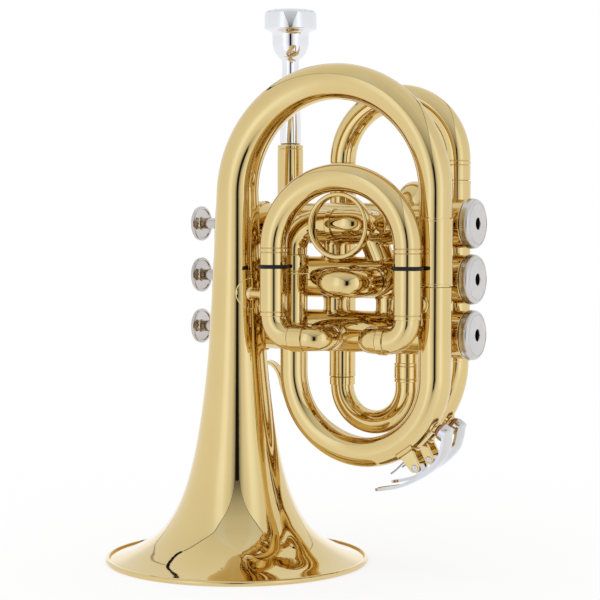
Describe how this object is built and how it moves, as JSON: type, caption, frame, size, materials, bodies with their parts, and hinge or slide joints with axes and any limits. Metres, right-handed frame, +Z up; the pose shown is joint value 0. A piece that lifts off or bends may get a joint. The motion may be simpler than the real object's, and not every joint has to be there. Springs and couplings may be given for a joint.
{
  "type": "pocket trumpet",
  "caption": "Pocket trumpet of lacquered brass standing on its bell, with piston valves that press, slides that pull, spring water keys and a plated mouthpiece",
  "frame": {"origin": "centre of the box's footprint, at the level of the bell rim that the trumpet stands on", "axes": "+X along the valves from the finger buttons to the bottom caps, +Y from the bell side to the leadpipe side, +Z up from the bell rim to the mouthpiece"},
  "size_m": [0.174, 0.1316, 0.2614],
  "materials": {
    "lacquered_brass": "clear-lacquered polished yellow brass",
    "silver_plate": "polished silver plate",
    "bright_plate": "polished plate",
    "nickel_silver": "polished nickel silver",
    "spring_steel": "bright spring wire",
    "black_rubber": "satin black rubber",
    "cork": "red-brown cork"
  },
  "bodies": {
    "horn": {"bell": "lacquered_brass", "bell_sleeve": "lacquered_brass", "front_bow": "lacquered_brass", "bell_branch": "lacquered_brass", "third_outer_left": "lacquered_brass", "third_outer_right": "lacquered_brass", "second_outer_1": "lacquered_brass", "second_outer_2": "lacquered_brass", "first_outer_1": "lacquered_brass", "first_outer_2": "lacquered_brass", "receiver": "lacquered_brass", "leadpipe": "lacquered_brass", "leadpipe_bow": "lacquered_brass", "tuning_outer_left": "lacquered_brass", "tuning_outer_right": "lacquered_brass", "rear_bow": "lacquered_brass", "casing_1": "lacquered_brass", "top_cap_1": "bright_plate", "bottom_cap_1": "bright_plate", "valve_spring_1": "spring_steel", "casing_2": "lacquered_brass", "top_cap_2": "bright_plate", "bottom_cap_2": "bright_plate", "valve_spring_2": "spring_steel", "casing_3": "lacquered_brass", "top_cap_3": "bright_plate", "bottom_cap_3": "bright_plate", "valve_spring_3": "spring_steel", "knuckle_1_2_1": "lacquered_brass", "knuckle_1_2_2": "lacquered_brass", "knuckle_2_3_1": "lacquered_brass", "knuckle_2_3_2": "lacquered_brass", "front_key_saddle": "lacquered_brass", "front_key_spring": "spring_steel", "rear_key_saddle": "lacquered_brass", "rear_key_spring": "spring_steel", "bell_brace": "lacquered_brass", "loop_brace": "lacquered_brass", "finger_hook": "lacquered_brass"},
    "third_slide_group": {"third_slide": "lacquered_brass", "o_ring_left": "black_rubber", "o_ring_right": "black_rubber", "finger_ring": "lacquered_brass"},
    "second_slide_group": {"second_slide": "lacquered_brass"},
    "first_slide_group": {"first_slide": "lacquered_brass"},
    "tuning_slide_group": {"tuning_slide": "lacquered_brass"},
    "mouthpiece_group": {"mouthpiece": "silver_plate"},
    "front_key": {"front_key_lever": "nickel_silver", "front_key_cork": "cork"},
    "rear_key": {"rear_key_lever": "nickel_silver", "rear_key_cork": "cork"},
    "valve_1": {"piston_1": "nickel_silver", "stem_1": "bright_plate", "finger_button_1": "bright_plate"},
    "valve_2": {"piston_2": "nickel_silver", "stem_2": "bright_plate", "finger_button_2": "bright_plate"},
    "valve_3": {"piston_3": "nickel_silver", "stem_3": "bright_plate", "finger_button_3": "bright_plate"}
  },
  "joints": [
    {"name": "valve_1_press", "type": "slide", "parent": "horn", "child": "valve_1", "axis": [1, 0, 0], "range_m": [0, 0.017], "stiffness_N_per_m": 120, "springref_m": -0.012, "deforming": ["valve_spring_1"]},
    {"name": "valve_2_press", "type": "slide", "parent": "horn", "child": "valve_2", "axis": [1, 0, 0], "range_m": [0, 0.017], "stiffness_N_per_m": 120, "springref_m": -0.012, "deforming": ["valve_spring_2"]},
    {"name": "valve_3_press", "type": "slide", "parent": "horn", "child": "valve_3", "axis": [1, 0, 0], "range_m": [0, 0.017], "stiffness_N_per_m": 120, "springref_m": -0.012, "deforming": ["valve_spring_3"]},
    {"name": "third_slide_pull", "type": "slide", "parent": "horn", "child": "third_slide_group", "axis": [0, 0, 1], "range_m": [0, 0.016]},
    {"name": "second_slide_pull", "type": "slide", "parent": "horn", "child": "second_slide_group", "axis": [0, -1, 0], "range_m": [0, 0.006]},
    {"name": "first_slide_pull", "type": "slide", "parent": "horn", "child": "first_slide_group", "axis": [0, 1, 0], "range_m": [0, 0.01]},
    {"name": "tuning_slide_pull", "type": "slide", "parent": "horn", "child": "tuning_slide_group", "axis": [0, 0, 1], "range_m": [0, 0.035]},
    {"name": "mouthpiece_pull", "type": "slide", "parent": "horn", "child": "mouthpiece_group", "axis": [0, 0, 1], "range_m": [0, 0.03]},
    {"name": "front_key_press", "type": "hinge", "parent": "horn", "child": "front_key", "pos_m": [0.06926, -0.00392, 0.05066], "axis": [0, 1, 0], "range_deg": [0, 14], "stiffness_Nm_per_rad": 0.12, "springref_deg": -20.05},
    {"name": "rear_key_press", "type": "hinge", "parent": "horn", "child": "rear_key", "pos_m": [0.05593, 0.03888, 0.04849], "axis": [0, 1, 0], "range_deg": [0, 14], "stiffness_Nm_per_rad": 0.12, "springref_deg": -20.05}
  ]
}
